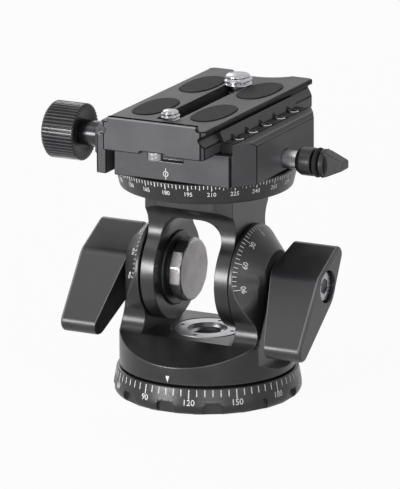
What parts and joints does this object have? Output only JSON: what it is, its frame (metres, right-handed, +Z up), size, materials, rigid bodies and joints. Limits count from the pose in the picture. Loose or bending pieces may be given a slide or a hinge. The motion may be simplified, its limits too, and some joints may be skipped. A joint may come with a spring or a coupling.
{
  "type": "tilt head",
  "caption": "Camera tilt head: graduated turning base, fork and yoke with wing lock levers, graduated pan disc, screw clamp and dovetail plate with camera screws.",
  "frame": {"origin": "centre of the tripod thread at the base's underside", "axes": "+Z up, X along the tilt axis with the clamp knob at -X, -Y the front with the plate's lip"},
  "size_m": [0.1099, 0.0824, 0.104],
  "materials": {
    "black_plastic": "black moulded",
    "bolt": "brushed",
    "brass": "turned",
    "clamp": "dark grey anodised, fine blasted",
    "disc": "black anodised, turned",
    "drum": "black anodised, fine blasted",
    "knob": "black anodised, knurled",
    "lever": "dark grey anodised, fine blasted",
    "nylon": "moulded",
    "plate": "dark grey anodised, fine blasted",
    "ring": "black anodised, fine blasted",
    "rubber": "fine stipple",
    "steel": "turned and polished",
    "yoke": "black anodised, fine blasted"
  },
  "bodies": {
    "base": {"base_ring": "ring", "pan_spigot": "steel", "tripod_bush": "steel", "pan_nut": "steel", "glide_washer": "nylon", "base_screws": "steel"},
    "fork": {"fork": "drum", "ear_bushes": "brass", "tilt_washers": "nylon"},
    "yoke": {"yoke": "yoke", "pivot_bolts": "bolt", "bolt_washers": "black_plastic", "wing_screws": "steel", "pan_disc": "disc", "disc_screws": "steel", "pan_post": "steel", "post_cap": "steel", "post_screw": "steel"},
    "left_lever": {"left_wing": "lever", "left_insert": "brass"},
    "right_lever": {"right_wing": "lever", "right_insert": "brass"},
    "clamp": {"clamp_body": "clamp", "fixed_jaw": "clamp", "jaw_screws": "steel"},
    "jaw": {"movable_jaw": "clamp", "guide_pins": "steel", "jaw_sleeve": "steel"},
    "knob": {"clamp_knob": "knob", "clamp_spindle": "steel", "knob_cap": "black_plastic"},
    "lock": {"lock_shaft": "steel", "lock_tip": "brass", "lock_knob": "black_plastic", "lock_ring": "rubber"},
    "plate": {"plate": "plate", "plate_pads": "rubber", "stop_screws": "steel"},
    "small_carrier": {"small_washer": "nylon"},
    "small_screw": {"small_screw": "steel"},
    "large_carrier": {"large_washer": "nylon"},
    "large_screw": {"large_screw": "steel"}
  },
  "joints": [
    {"name": "base_pan", "type": "hinge", "parent": "base", "child": "fork", "pos_m": [0, 0, 0.0093], "axis": [0, 0, 1], "continuous": true},
    {"name": "tilt", "type": "hinge", "parent": "fork", "child": "yoke", "pos_m": [0, 0, 0.0411], "axis": [1, 0, 0], "range_deg": [-90, 90]},
    {"name": "left_lever_turn", "type": "hinge", "parent": "yoke", "child": "left_lever", "pos_m": [-0.036, 0, 0.0411], "axis": [-1, 0, 0], "continuous": true},
    {"name": "right_lever_turn", "type": "hinge", "parent": "yoke", "child": "right_lever", "pos_m": [0.036, 0, 0.0411], "axis": [1, 0, 0], "continuous": true},
    {"name": "clamp_pan", "type": "hinge", "parent": "yoke", "child": "clamp", "pos_m": [0, 0, 0.0795], "axis": [0, 0, 1], "continuous": true},
    {"name": "jaw_slide", "type": "slide", "parent": "clamp", "child": "jaw", "axis": [-1, 0, 0], "range_m": [0, 0.004]},
    {"name": "knob_turn", "type": "hinge", "parent": "jaw", "child": "knob", "pos_m": [-0.0518, 0, 0.0843], "axis": [-1, 0, 0], "range_deg": [0, 1441]},
    {"name": "lock_turn", "type": "hinge", "parent": "clamp", "child": "lock", "pos_m": [0.0435, 0, 0.0835], "axis": [1, 0, 0], "range_deg": [-30, 150]},
    {"name": "plate_slide", "type": "slide", "parent": "clamp", "child": "plate", "axis": [0, 1, 0], "range_m": [-0.0025, 0.0045]},
    {"name": "small_slide", "type": "slide", "parent": "plate", "child": "small_carrier", "axis": [0, 1, 0], "range_m": [0, 0.017]},
    {"name": "small_turn", "type": "hinge", "parent": "small_carrier", "child": "small_screw", "pos_m": [0, -0.026, 0.10035], "axis": [0, 0, 1], "continuous": true},
    {"name": "large_slide", "type": "slide", "parent": "plate", "child": "large_carrier", "axis": [0, -1, 0], "range_m": [0, 0.017]},
    {"name": "large_turn", "type": "hinge", "parent": "large_carrier", "child": "large_screw", "pos_m": [0, 0.024, 0.10035], "axis": [0, 0, 1], "continuous": true}
  ],
  "couplings": [
    {"joint": "knob_turn", "follows": "jaw_slide", "rad_per_m": 6283.2}
  ]
}
